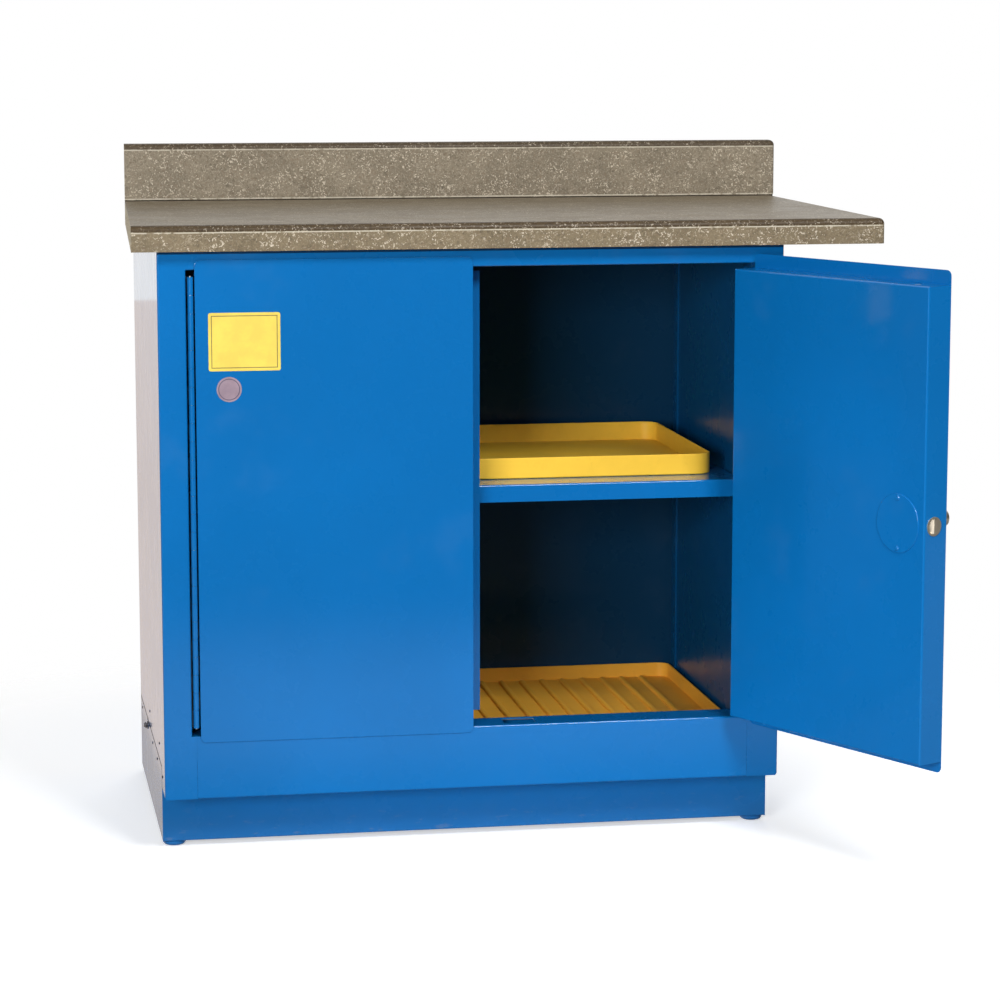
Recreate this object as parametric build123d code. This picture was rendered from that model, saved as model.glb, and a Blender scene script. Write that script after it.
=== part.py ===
from build123d import *
import os
from math import cos, radians, sin

# Acid storage cabinet: a double-walled steel cupboard with two hinged doors, a shelf and two spill trays,
# under a laminate worktop with a backsplash. The left door is closed and the right door stands open.
# Frame: origin on the floor under the middle of the steel body, +X to the right, +Y to the back, +Z up.

# Driving sizes of the steel body, in millimetres
WIDTH = 889.0
DEPTH = 559.0
BODY_HEIGHT = 774.0
PLINTH_HEIGHT = 77.0
FOOT_HEIGHT = 8.0
TOE_RECESS = 66.0
GAUGE = 1.2
WALL = 38.0
BEND = 2.5

# Front frame, heights counted from the bottom of the body
STILE_WIDTH = 39.5
HINGE_GAP = 12.0
JAMB_DEPTH = 45.0
SILL_HEIGHT = 90.0
SILL_DEPTH = 52.0
HEADER_UNDERSIDE = 747.0
STOP_DEPTH = 42.0
SEAM_HEIGHT = 33.0
SEAM_GAP = 1.2
SILL_END = 46.0

# Doors
DOOR_SPACING = 8.0
SKIN_BOTTOM = 81.0
SKIN_TOP = 761.0
PAN_BOTTOM = 97.0
PAN_TOP = 741.0
PAN_BACK = 39.5
SKIN_FRONT = -1.8
SKIN_BACK = -0.3
SKIN_CORNER = 8.0
OPEN_ANGLE = 117.0

# Piano hinge
PIN_FORWARD = 2.0
PIN_RADIUS = 1.6
KNUCKLE_RADIUS = 3.9
KNUCKLE_PITCH = 25.4
KNUCKLE_COUNT = 25
KNUCKLE_GAP = 0.4
HINGE_BOTTOM = 103.0
LEAF_DEPTH = (6.0, 30.0)
STEM_OFFSET = (0.7, 1.9)

# Latch of the right door, counted with that door closed
SPINDLE_X = 54.0
LATCH_HEIGHT = 421.0
CRANK = 11.3
BOLT_STROKE = 16.0
ROD_RADIUS = 4.75
BOLT_RADIUS = 10.0
SLIP = 0.3
RUNNING = 0.05

# Shelf and trays
SHELF_HEIGHT = 430.0
SHELF_LIP = 25.0
TRAY_WALL = 2.5
SUMP_WALL = 3.0
SHELF_TRAY_HEIGHT = 30.5
SUMP_TRAY_HEIGHT = 25.0
RIB_PITCH = 32.5
RIB_SHIFT = -6.0
RIB_WIDTH = 9.0
RIB_HEIGHT = 5.0

# Worktop and backsplash
TOP_THICKNESS = 36.0
CORE_THICKNESS = 18.0
LAMINATE = 1.0
FRONT_OVERHANG = 25.0
RIGHT_OVERHANG = 141.0
LEFT_FRONT_OVERHANG = 36.0
LEFT_BACK_OVERHANG = 9.0
SPLASH_FACE = 592.0
SPLASH_THICKNESS = 19.0
SPLASH_HEIGHT = 88.5
NOSING = 8.0

# Places worked out from the sizes above
front = -DEPTH / 2
back = DEPTH / 2
side = WIDTH / 2
base = FOOT_HEIGHT + PLINTH_HEIGHT
crown = base + BODY_HEIGHT
jamb = side - STILE_WIDTH
hinge_x = jamb - HINGE_GAP / 2
door_edge = jamb - HINGE_GAP
free_edge = DOOR_SPACING / 2
pin_y = front - PIN_FORWARD
liner_back = DEPTH - WALL
ceiling = base + HEADER_UNDERSIDE
floor_top = base + WALL + 2 * GAUGE
latch_z = base + LATCH_HEIGHT
worktop_z = crown + TOP_THICKNESS
hinge_line = Axis((hinge_x, pin_y, 0), (0, 0, 1))

pieces = {}


def deep(inset):
    """Y of a place that lies this far behind the front of the body."""
    return front + inset


def up(height):
    """Z of a place this far above the bottom of the body."""
    return base + height


def slab(x, y, z):
    """A block from three (low, high) pairs."""
    size = [high - low for low, high in (x, y, z)]
    middle = [(low + high) / 2 for low, high in (x, y, z)]
    return Pos(*middle) * Box(*size)


def bar(radius, start, end):
    """A round bar between two points."""
    run = Vector(*end) - Vector(*start)
    return extrude(Plane(origin=start, z_dir=run) * Circle(radius), run.length)


def folded(points, side_kept=Side.LEFT, bend=BEND, gauge=GAUGE):
    """The section of a folded sheet whose outer face follows the points."""
    return make_face(offset(FilletPolyline(*points, radius=bend), amount=gauge, side=side_kept))


def along_x(section, low, high):
    """A Y and Z section run along X."""
    return Pos(low, 0, 0) * extrude(Plane.YZ * section, high - low)


def along_z(section, low, high):
    """An X and Y section run up Z."""
    return Pos(0, 0, low) * extrude(section, high - low)


def other_side(shape):
    """The same piece on the other side of the cabinet."""
    return mirror(shape, about=Plane.YZ)


def swung(shape):
    """A piece of the right door, turned from closed to where the door stands open."""
    return shape.rotate(hinge_line, OPEN_ANGLE)


def group(shapes):
    """Several separate solids of one node."""
    return Compound(children=[solid for shape in shapes for solid in shape.solids()])


# Outer shell

def side_panel():
    """A side with its stile, folded back into a jamb between the sill and the header."""
    beside_sill = folded([(-side, back), (-side, front), (-side + SILL_END, front)])
    beside_doors = folded([(-side, back), (-side, front), (-jamb, front), (-jamb, deep(JAMB_DEPTH))])
    beside_header = folded([(-side, back), (-side, front), (-jamb, front)])
    panel = along_z(beside_sill, base, up(SILL_HEIGHT))
    panel += along_z(beside_doors, up(SILL_HEIGHT), up(HEADER_UNDERSIDE))
    panel += along_z(beside_header, up(HEADER_UNDERSIDE), crown - GAUGE)
    panel -= slab((-side - 1, -side + 2 * GAUGE), (deep(TOE_RECESS - SEAM_GAP), back + 1),
                  (base - 1, up(SEAM_HEIGHT) + SEAM_GAP))
    corner = 4.0
    nick = make_face(Polyline((-side - 1, base - 1), (-side + corner, base - 1), (-side - 1, base + corner),
                              close=True))
    panel -= Pos(0, deep(TOE_RECESS), 0) * extrude(Plane.XZ * nick, TOE_RECESS + 1)
    return panel


VENTS = [(-300.0, base + 150.0), (-300.0, base + 640.0)]
VENT_RADIUS = 30.0
VENT_BORE = 27.0


def vent_cut(shape, low, high):
    for x, z in VENTS:
        shape -= bar(VENT_RADIUS, (x, deep(low), z), (x, deep(high), z))
    return shape


def outer_shell():
    left = side_panel()
    pieces["left_side_panel"] = left
    pieces["right_side_panel"] = other_side(left)
    sheet = slab((-side + GAUGE, side - GAUGE), (back - GAUGE, back), (base + GAUGE, crown - GAUGE))
    pieces["back_panel"] = vent_cut(sheet, DEPTH - 2 * GAUGE, DEPTH + 1)
    pieces["top_panel"] = slab((-side, side), (front, back), (crown - GAUGE, crown))
    pieces["bottom_panel"] = slab((-side + GAUGE, side - GAUGE), (deep(TOE_RECESS), back - GAUGE),
                                  (base, base + GAUGE))


TOP_ROD_X = SPINDLE_X - 12.0
BOTTOM_ROD_X = SPINDLE_X + 12.0
ROD_DEPTH = 23.0
STRIKE_HOLE = 7.0
STRIKE_PLATE = 1.5
SLOT_X = (43.0, 90.0)
SLOT_Y = (deep(12.0), deep(43.0))


def front_rails():
    header_z = up(HEADER_UNDERSIDE)
    section = folded([(deep(30.0), crown - GAUGE), (front, crown - GAUGE), (front, header_z),
                      (deep(STOP_DEPTH - 0.5), header_z)])
    header = along_x(section, -jamb, jamb)
    rod_y = deep(ROD_DEPTH)
    header -= bar(STRIKE_HOLE, (TOP_ROD_X, rod_y, header_z - 1), (TOP_ROD_X, rod_y, header_z + 4))
    pieces["header_rail"] = header
    sill_z = up(SILL_HEIGHT)
    section = folded([(deep(TOE_RECESS), base), (front, base), (front, sill_z), (deep(SILL_DEPTH), sill_z),
                      (deep(SILL_DEPTH), floor_top + 0.4)], Side.RIGHT)
    rail = along_x(section, -jamb, jamb)
    rail_end = side - SILL_END - 0.25
    for x_range in ((-jamb - 1, -rail_end), (rail_end, jamb + 1)):
        rail -= slab(x_range, (front - 1, front + BEND), (base - 1, sill_z + 1))
    rail -= slab(SLOT_X, SLOT_Y, (sill_z - 4, sill_z + 1))
    pieces["bottom_rail"] = rail
    top_strike = slab((TOP_ROD_X - 20, TOP_ROD_X + 20), (deep(8), deep(39)),
                      (header_z + GAUGE, header_z + GAUGE + STRIKE_PLATE))
    top_strike -= bar(STRIKE_HOLE, (TOP_ROD_X, rod_y, header_z), (TOP_ROD_X, rod_y, header_z + 6))
    sill_strike = slab((SLOT_X[0] - 8, SLOT_X[1] + 8), (deep(7), deep(49)),
                       (sill_z - GAUGE - STRIKE_PLATE, sill_z - GAUGE))
    sill_strike -= slab(SLOT_X, SLOT_Y, (sill_z - 6, sill_z))
    pieces["strike_plates"] = group([top_strike, sill_strike])


def liners():
    z_low = floor_top - GAUGE
    z_high = ceiling + GAUGE
    liner = slab((-jamb - GAUGE, -jamb), (deep(JAMB_DEPTH), deep(liner_back - GAUGE)), (z_low, z_high))
    pieces["left_liner"] = liner
    pieces["right_liner"] = other_side(liner)
    rear = slab((-jamb - GAUGE, jamb + GAUGE), (deep(liner_back - GAUGE), deep(liner_back)), (z_low, z_high))
    pieces["back_liner"] = vent_cut(rear, liner_back - 2 * GAUGE, liner_back + 1)
    pieces["ceiling_liner"] = slab((-jamb, jamb), (deep(STOP_DEPTH), deep(liner_back - GAUGE)), (ceiling, z_high))
    pieces["floor_liner"] = slab((-jamb, jamb), (deep(JAMB_DEPTH), deep(liner_back - GAUGE)), (z_low, floor_top))


# Base under the body

FOOT_X = 427.0
FOOT_INSETS = {"front": 84.0, "back": 541.0}
FLANGE = 11.0
SPLICE_LOW = 10.0
SPLICE_HIGH = 67.0
STEM_RADIUS = 5.0
BRACKET_Z = 40.0
BRACKET = 45.0


def plinth():
    section = folded([(deep(TOE_RECESS + 22), base), (deep(TOE_RECESS), base), (deep(TOE_RECESS), FOOT_HEIGHT),
                      (deep(TOE_RECESS + FLANGE), FOOT_HEIGHT)])
    pieces["base_front"] = along_x(section, -side + GAUGE, side - GAUGE)
    cheek = slab((-side, -side + GAUGE), (deep(TOE_RECESS), back), (FOOT_HEIGHT, up(SEAM_HEIGHT)))
    cheek += slab((-side, -side + FLANGE), (deep(TOE_RECESS + FLANGE + 1), back - 2 * GAUGE),
                  (FOOT_HEIGHT, FOOT_HEIGHT + GAUGE))
    cheek += slab((-side + GAUGE, -side + 2 * GAUGE), (deep(80), deep(550)), (up(SPLICE_LOW), up(SPLICE_HIGH)))
    pieces["base_left"] = cheek
    pieces["base_right"] = other_side(cheek)
    pieces["base_back"] = slab((-side + GAUGE, side - GAUGE), (back - GAUGE, back), (FOOT_HEIGHT, base))


def foot_bracket(inset, y_range):
    plate = slab((-side + GAUGE, -side + GAUGE + BRACKET), y_range, (BRACKET_Z, BRACKET_Z + 3))
    nut = extrude(Pos(-FOOT_X, deep(inset), BRACKET_Z + 3) * RegularPolygon(9, 6), 8)
    hole = bar(STEM_RADIUS + RUNNING, (-FOOT_X, deep(inset), BRACKET_Z - 1), (-FOOT_X, deep(inset), BRACKET_Z + 15))
    return plate + nut - hole


def feet():
    rows = {"front": (deep(TOE_RECESS + GAUGE), deep(TOE_RECESS + GAUGE + BRACKET)),
            "back": (back - GAUGE - BRACKET, back - GAUGE)}
    brackets = []
    for row, inset in FOOT_INSETS.items():
        bracket = foot_bracket(inset, rows[row])
        brackets += [bracket, other_side(bracket)]
        pad_top = FOOT_HEIGHT - SLIP
        outline = make_face(Polyline((0, 0), (11, 0), (14.6, 1.4), (16.5, 3.6), (16.5, 6), (15, pad_top),
                                     (STEM_RADIUS, pad_top), (STEM_RADIUS, 68), (0, 68), close=True))
        foot = revolve(Plane.XZ * outline, Axis.Z)
        pieces[f"foot_{row}_left"] = Pos(-FOOT_X, deep(inset), 0) * foot
        pieces[f"foot_{row}_right"] = Pos(FOOT_X, deep(inset), 0) * foot
    pieces["foot_brackets"] = group(brackets)


RIVET_ROWS = [(57.0, (112.0, 330.0)), (22.0, (50.0, 165.0, 270.0, 520.0))]
RIVET_RADIUS = 2.6
RIVET_HEIGHT = 0.9


def side_fixings():
    rivets = []
    for height, insets in RIVET_ROWS:
        for inset in insets:
            dome = Pos(-side, deep(inset), up(height)) * Rot(0, -90, 0) * Cone(
                RIVET_RADIUS, RIVET_RADIUS * 0.5, RIVET_HEIGHT, align=(Align.CENTER, Align.CENTER, Align.MIN))
            rivets += [dome, other_side(dome)]
    pieces["side_rivets"] = group(rivets)
    y, z = deep(385.0), up(23.5)
    washer = bar(6.0, (-side, y, z), (-side - 1.2, y, z))
    screw = bar(3.0, (-side - 1.2, y, z), (-side - 6.0, y, z))
    wings = Pos(-side - 3.4, y, z) * Box(2.0, 20.0, 5.0)
    tag = slab((-side - 0.6, -side), (y - 3, y + 3), (z + 8, z + 12))
    pieces["bonding_screw"] = group([washer, screw + wings, tag])


# Vents on the back

def vents():
    collars, screens, caps = [], [], []
    outlet = 7.0
    for x, z in VENTS:
        start = (x, deep(liner_back - GAUGE), z)
        end = (x, back + outlet, z)
        collars.append(bar(VENT_RADIUS, start, end) - bar(VENT_BORE, start, end))
        screen_y = deep(liner_back + 3)
        screen = bar(VENT_BORE, (x, screen_y, z), (x, screen_y + 1, z))
        for row in range(-3, 4):
            for column in range(-3, 4):
                if row * row + column * column < 11:
                    px, pz = x + 7 * column, z + 7 * row
                    screen -= bar(2.2, (px, screen_y - 1, pz), (px, screen_y + 2, pz))
        screens.append(screen)
        plug = bar(VENT_BORE - RUNNING, (x, back - 6, z), (x, back + outlet, z))
        cap = bar(VENT_RADIUS + 3, (x, back + outlet, z), (x, back + outlet + 6, z))
        cap += plug + Pos(x, back + outlet + 9, z) * Box(34, 6, 8)
        caps.append(cap)
    pieces["vent_collars"] = group(collars)
    pieces["vent_screens"] = group(screens)
    pieces["vent_caps"] = group(caps)


# Shelf, standards and trays

STANDARD_INSETS = (70.0, 490.0)
STANDARD_THICKNESS = 3.0
STANDARD_WIDTH = 16.0


def shelving():
    low, high = floor_top + 9, ceiling - 9
    strip = Rectangle(STANDARD_WIDTH, high - low)
    strip -= GridLocations(1, KNUCKLE_PITCH, 1, 25) * Rectangle(4, 11)
    standard = extrude(Plane.YZ * strip, STANDARD_THICKNESS)
    shelf_z = up(SHELF_HEIGHT)
    underside = shelf_z - GAUGE
    standards, clips = [], []
    for inset in STANDARD_INSETS:
        y = deep(inset)
        rail = Pos(-jamb, y, (low + high) / 2) * standard
        wall = -jamb + STANDARD_THICKNESS
        clip = slab((wall, wall + 1.8), (y - 5, y + 5), (underside - 22, underside))
        clip += slab((wall, wall + 22), (y - 5, y + 5), (underside - 2, underside))
        standards += [rail, other_side(rail)]
        clips += [clip, other_side(clip)]
    pieces["shelf_standards"] = group(standards)
    pieces["shelf_clips"] = group(clips)
    lip_z = shelf_z - SHELF_LIP
    section = folded([(deep(50), lip_z), (deep(50), shelf_z), (deep(505), shelf_z), (deep(505), lip_z)], Side.RIGHT)
    half = jamb - STANDARD_THICKNESS - 5
    pieces["shelf"] = along_x(section, -half, half)


def open_tray(x_half, y_range, z_range, wall, corner):
    """A thin tray with rounded corners and a soft rim."""
    length = y_range[1] - y_range[0]
    height = z_range[1] - z_range[0]
    place = Pos(0, (y_range[0] + y_range[1]) / 2, z_range[0])
    outside = extrude(RectangleRounded(2 * x_half, length, corner), height)
    outside = fillet(outside.edges().group_by(Axis.Z)[0], wall)
    inside = extrude(RectangleRounded(2 * (x_half - wall), length - 2 * wall, corner - wall), height)
    tray = outside - Pos(0, 0, wall) * inside
    rim = tray.faces().sort_by(Axis.Z)[-1]
    return place * fillet(rim.edges(), wall * 0.4)


def trays():
    tray_z = up(SHELF_HEIGHT) + 0.2
    pieces["shelf_tray"] = open_tray(370, (deep(105), deep(492)), (tray_z, tray_z + SHELF_TRAY_HEIGHT),
                                     TRAY_WALL, 26)
    sump_z = floor_top + 0.2
    sump_half = jamb - STANDARD_THICKNESS - 3
    tray = open_tray(sump_half, (deep(SILL_DEPTH + 2), deep(liner_back - 3)), (sump_z, sump_z + SUMP_TRAY_HEIGHT),
                     SUMP_WALL, 20)
    rib = slab((-RIB_WIDTH / 2, RIB_WIDTH / 2), (deep(72), deep(500)),
               (sump_z + SUMP_WALL - 0.5, sump_z + SUMP_WALL + RIB_HEIGHT))
    rib = fillet(rib.edges().filter_by(Axis.Y).group_by(Axis.Z)[-1], RIB_WIDTH * 0.4)
    ribs = 2 * int((sump_half - 24 - abs(RIB_SHIFT)) / RIB_PITCH) + 1
    for index in range(ribs):
        tray += Pos((index - ribs // 2) * RIB_PITCH + RIB_SHIFT, 0, 0) * rib
    pieces["sump_tray"] = tray


# Piano hinges, made for the left side

def hinge_leaves():
    z_low = up(HINGE_BOTTOM)
    z_high = z_low + KNUCKLE_COUNT * KNUCKLE_PITCH
    leaf_y = (deep(LEAF_DEPTH[0]), deep(LEAF_DEPTH[1]))
    web_y = (leaf_y[0], leaf_y[0] + GAUGE)
    stem_y = (front + 0.6, web_y[1])
    frame_leaf = slab((-jamb, -jamb + GAUGE), leaf_y, (z_low, z_high))
    door_leaf = slab((-door_edge, -door_edge + GAUGE), leaf_y, (z_low, z_high))
    bore = bar(PIN_RADIUS + RUNNING, (-hinge_x, pin_y, z_low - 1), (-hinge_x, pin_y, z_high + 1))
    for index in range(KNUCKLE_COUNT):
        low = z_low + index * KNUCKLE_PITCH + KNUCKLE_GAP / 2
        high = low + KNUCKLE_PITCH - KNUCKLE_GAP
        barrel = bar(KNUCKLE_RADIUS, (-hinge_x, pin_y, low), (-hinge_x, pin_y, high))
        if index % 2 == 0:
            stem_x = (-hinge_x - STEM_OFFSET[1], -hinge_x - STEM_OFFSET[0])
            web = slab((-jamb, stem_x[1]), web_y, (low, high))
            frame_leaf += barrel + slab(stem_x, stem_y, (low, high)) + web
        else:
            stem_x = (-hinge_x + STEM_OFFSET[0], -hinge_x + STEM_OFFSET[1])
            web = slab((stem_x[0], -door_edge + GAUGE), web_y, (low, high))
            door_leaf += barrel + slab(stem_x, stem_y, (low, high)) + web
    pin = bar(PIN_RADIUS, (-hinge_x, pin_y, z_low - 1.5), (-hinge_x, pin_y, z_high + 1.5))
    return frame_leaf - bore, door_leaf - bore, pin


# Doors, both made for the left side first

def door_skin():
    width = door_edge - free_edge
    height = SKIN_TOP - SKIN_BOTTOM
    place = Pos(-(door_edge + free_edge) / 2, deep(SKIN_BACK), up((SKIN_TOP + SKIN_BOTTOM) / 2))
    skin = place * extrude(Plane.XZ * RectangleRounded(width, height, SKIN_CORNER), SKIN_BACK - SKIN_FRONT)
    face = skin.faces().sort_by(Axis.Y)[0]
    return fillet(face.edges(), 0.7)


def door_pan():
    x = (-door_edge + GAUGE, -free_edge)
    y = (deep(SKIN_BACK), deep(PAN_BACK))
    z = (up(PAN_BOTTOM), up(PAN_TOP))
    outside = slab(x, y, z)
    outside = fillet(outside.edges().group_by(Axis.Y)[-1], BEND)
    inside = slab((x[0] + GAUGE, x[1] - GAUGE), (y[0] - 5, y[1] - GAUGE), (z[0] + GAUGE, z[1] - GAUGE))
    inside = fillet(inside.edges().group_by(Axis.Y)[-1], BEND - GAUGE)
    return outside - inside


BOLT_DEPTH = 22.0
STRIP_X = (-30.0, 12.0)
STRIP_THICKNESS = 1.7


def bolt_hole(radius):
    y = deep(BOLT_DEPTH)
    return bar(radius, (-free_edge - 6, y, latch_z), (free_edge + 6, y, latch_z))


def left_door(skin, pan, leaf):
    pieces["left_door_skin"] = skin
    pieces["left_door_pan"] = pan - bolt_hole(BOLT_RADIUS + 0.7)
    pieces["left_door_leaf"] = leaf
    strip_z = (up(PAN_BOTTOM + 8), up(PAN_TOP - 3))
    strip = slab(STRIP_X, (deep(PAN_BACK), deep(PAN_BACK + STRIP_THICKNESS)), strip_z)
    relief = slab((-free_edge + 1, STRIP_X[1] + 1), (deep(PAN_BACK - 1), deep(PAN_BACK + SLIP)),
                  (strip_z[0] - 1, strip_z[1] + 1))
    pieces["astragal"] = strip - relief
    plate = extrude(Plane.XZ * RectangleRounded(100, 81, 3), 0.4)
    pieces["data_plate"] = Pos(-325, deep(SKIN_FRONT), up(647.2)) * plate
    sticker = extrude(Plane.XZ * Circle(17.5), 0.3)
    pieces["round_sticker"] = Pos(-347, deep(SKIN_FRONT), up(581)) * sticker


COVER_RADIUS = 40.0
ACCESS_RADIUS = 30.0
COVER_SCREW = 34.2


def right_door(skin, pan, leaf):
    y_skin = (deep(SKIN_FRONT - 1), deep(SKIN_BACK + 1))
    skin = skin - bar(STEM_RADIUS + 1, (SPINDLE_X, y_skin[0], latch_z), (SPINDLE_X, y_skin[1], latch_z))
    pieces["right_door_skin"] = swung(skin)
    back_y = (deep(PAN_BACK - 4), deep(PAN_BACK + 1))
    pan = pan - bolt_hole(BOLT_RADIUS + SLIP)
    pan -= bar(ACCESS_RADIUS, (SPINDLE_X, back_y[0], latch_z), (SPINDLE_X, back_y[1], latch_z))
    rod_hole = ROD_RADIUS + SLIP
    rod_y = deep(ROD_DEPTH)
    pan -= bar(rod_hole, (TOP_ROD_X, rod_y, up(PAN_TOP - 5)), (TOP_ROD_X, rod_y, up(PAN_TOP + 1)))
    pan -= bar(rod_hole, (BOTTOM_ROD_X, rod_y, up(PAN_BOTTOM + 5)), (BOTTOM_ROD_X, rod_y, up(PAN_BOTTOM - 1)))
    screws = []
    cover = bar(COVER_RADIUS, (SPINDLE_X, deep(PAN_BACK), latch_z), (SPINDLE_X, deep(PAN_BACK + 1.5), latch_z))
    cover = fillet(cover.faces().sort_by(Axis.Y)[-1].edges(), 1.0)
    for offset_z in (-COVER_SCREW, COVER_SCREW):
        z = latch_z + offset_z
        shank = bar(2.0, (SPINDLE_X, deep(PAN_BACK - 4), z), (SPINDLE_X, deep(PAN_BACK + 1.5), z))
        head = Pos(SPINDLE_X, deep(PAN_BACK + 1.5), z) * Rot(-90, 0, 0) * Cone(
            4.0, 2.2, 1.6, align=(Align.CENTER, Align.CENTER, Align.MIN))
        cover -= shank
        pan -= shank
        screws.append(swung(shank + head))
    pieces["right_door_pan"] = swung(pan)
    pieces["right_door_leaf"] = swung(leaf)
    pieces["latch_cover"] = swung(cover)
    pieces["latch_cover_screws"] = group(screws)


def rod_guides():
    guides = []
    rear = deep(PAN_BACK - GAUGE)
    for x, heights in ((TOP_ROD_X, (515.0, 700.0)), (BOTTOM_ROD_X, (320.0, 140.0))):
        for height in heights:
            z = up(height)
            guide = slab((x - 12, x + 12), (deep(ROD_DEPTH - 8), rear), (z - 6, z + 6))
            guides.append(guide - bar(ROD_RADIUS + SLIP, (x, deep(ROD_DEPTH), z - 7), (x, deep(ROD_DEPTH), z + 7)))
    block = slab((free_edge + GAUGE, free_edge + GAUGE + 9), (deep(BOLT_DEPTH - 14), deep(BOLT_DEPTH + 14)),
                 (latch_z - 14, latch_z + 14))
    guides.append(block - bar(BOLT_RADIUS + SLIP, (0, deep(BOLT_DEPTH), latch_z), (30, deep(BOLT_DEPTH), latch_z)))
    pieces["rod_guides"] = group([swung(guide) for guide in guides])
    start = (free_edge, deep(BOLT_DEPTH), latch_z)
    end = (free_edge - 1.0, deep(BOLT_DEPTH), latch_z)
    bezel = bar(13.0, start, end) - bar(BOLT_RADIUS + SLIP, start, end)
    pieces["bolt_bezel"] = swung(bezel)


# Latch works: the lever turns a cam whose pins drive three forks

def crank_pin(angle):
    return SPINDLE_X + CRANK * cos(radians(angle)), latch_z + CRANK * sin(radians(angle))


def latch_works():
    cam_y = (deep(16), deep(19))
    fork_y = (deep(20), deep(24))
    bolt_fork_y = (deep(10), deep(14))
    spindle_y = (deep(-14), deep(36))
    pin_radius = 2.5
    cam = bar(15, (SPINDLE_X, cam_y[0], latch_z), (SPINDLE_X, cam_y[1], latch_z))
    cam += bar(STEM_RADIUS, (SPINDLE_X, spindle_y[0], latch_z), (SPINDLE_X, spindle_y[1], latch_z))
    for angle, y_end in ((225, fork_y[1] + 1), (45, fork_y[1] + 1)):
        x, z = crank_pin(angle)
        cam += bar(pin_radius, (x, cam_y[0], z), (x, y_end, z))
    x, z = crank_pin(-45)
    cam += bar(pin_radius, (x, cam_y[1], z), (x, bolt_fork_y[0] - 1, z))
    pieces["latch_cam"] = swung(cam)

    slot = pin_radius + 0.6
    fork_half = 8.0
    reach = 5.6
    for name, angle, rod_x, rod_end in (("top_rod", 225, TOP_ROD_X, up(PAN_TOP)),
                                        ("bottom_rod", 45, BOTTOM_ROD_X, up(PAN_BOTTOM))):
        hand = -1 if angle == 225 else 1
        rise = -hand
        pin_x, pin_z = crank_pin(angle)
        inner = SPINDLE_X + hand * reach
        outer = SPINDLE_X + hand * 16.5
        x_range = (min(inner, outer), max(inner, outer))
        fork = slab(x_range, fork_y, (pin_z - fork_half, pin_z + fork_half))
        closed_end = SPINDLE_X + hand * (CRANK + slot)
        cut_x = (min(closed_end, SPINDLE_X), max(closed_end, SPINDLE_X))
        fork -= slab(cut_x, (fork_y[0] - 1, fork_y[1] + 1), (pin_z - slot, pin_z + slot))
        neck_start = pin_z + rise * (fork_half - 1)
        neck_end = pin_z + rise * 40
        neck = slab(x_range, fork_y, (min(neck_start, neck_end), max(neck_start, neck_end)))
        shaft = bar(ROD_RADIUS, (rod_x, deep(ROD_DEPTH), neck_end - rise * 2), (rod_x, deep(ROD_DEPTH), rod_end))
        pieces[name] = swung(fork + neck + shaft)

    pin_x, pin_z = crank_pin(-45)
    x_range = (pin_x - fork_half, pin_x + fork_half)
    z_range = (latch_z - 18, latch_z - reach)
    fork = slab(x_range, bolt_fork_y, z_range)
    fork -= slab((pin_x - slot, pin_x + slot), (bolt_fork_y[0] - 1, bolt_fork_y[1] + 1),
                 (latch_z - CRANK - slot, latch_z))
    root = SPINDLE_X - 17.5
    arm = slab((root - 1, x_range[0] + 1), bolt_fork_y, (z_range[0], latch_z - 7))
    riser = slab((root - 2.5, root), (bolt_fork_y[0], deep(BOLT_DEPTH)), (z_range[0], latch_z + 4))
    tip = free_edge - 2.5
    head = bar(BOLT_RADIUS, (tip, deep(BOLT_DEPTH), latch_z), (root, deep(BOLT_DEPTH), latch_z))
    bevel = Pos(tip, deep(BOLT_DEPTH + BOLT_RADIUS), latch_z) * Rot(0, 0, 45) * Box(12, 12, 30)
    pieces["side_bolt"] = swung(fork + arm + riser + head - bevel)


HUB_RADIUS = 13.0
LEVER_OUT = 44.0
LEVER_IN = 32.0


def door_handle():
    y_out = deep(-LEVER_OUT)
    hub = bar(HUB_RADIUS, (SPINDLE_X, deep(SKIN_FRONT - 2.3), latch_z), (SPINDLE_X, y_out, latch_z))
    outline = SlotOverall(118, 22)
    lever = Pos(SPINDLE_X + 46, deep(-LEVER_IN), latch_z) * extrude(Plane.XZ * outline, LEVER_OUT - LEVER_IN)
    lever = fillet(lever.faces().sort_by(Axis.Y)[0].edges(), 3.0)
    handle = hub + lever
    handle -= bar(STEM_RADIUS, (SPINDLE_X, deep(-14), latch_z), (SPINDLE_X, deep(0), latch_z))
    handle -= bar(6 + RUNNING, (SPINDLE_X, y_out - 1, latch_z), (SPINDLE_X, deep(-LEVER_IN + 6), latch_z))
    pieces["door_handle"] = swung(handle)
    plug = bar(6, (SPINDLE_X, y_out - 1.0, latch_z), (SPINDLE_X, deep(-LEVER_IN + 6), latch_z))
    plug -= slab((SPINDLE_X - 1, SPINDLE_X + 1), (y_out - 2, y_out + 6), (latch_z - 4, latch_z + 4))
    pieces["lock_plug"] = swung(plug)
    rose_y = (deep(SKIN_FRONT), deep(SKIN_FRONT - 6))
    rose = bar(31, (SPINDLE_X, rose_y[0], latch_z), (SPINDLE_X, rose_y[1], latch_z))
    rose = fillet(rose.faces().sort_by(Axis.Y)[0].edges(), 2.0)
    rose -= bar(HUB_RADIUS + SLIP, (SPINDLE_X, deep(SKIN_FRONT - 2), latch_z), (SPINDLE_X, rose_y[1] - 1, latch_z))
    rose -= bar(STEM_RADIUS + RUNNING, (SPINDLE_X, rose_y[0] + 1, latch_z), (SPINDLE_X, rose_y[1] - 1, latch_z))
    pieces["handle_rose"] = swung(rose)


# Worktop and backsplash, with a rough left end that is cut out of square

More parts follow.
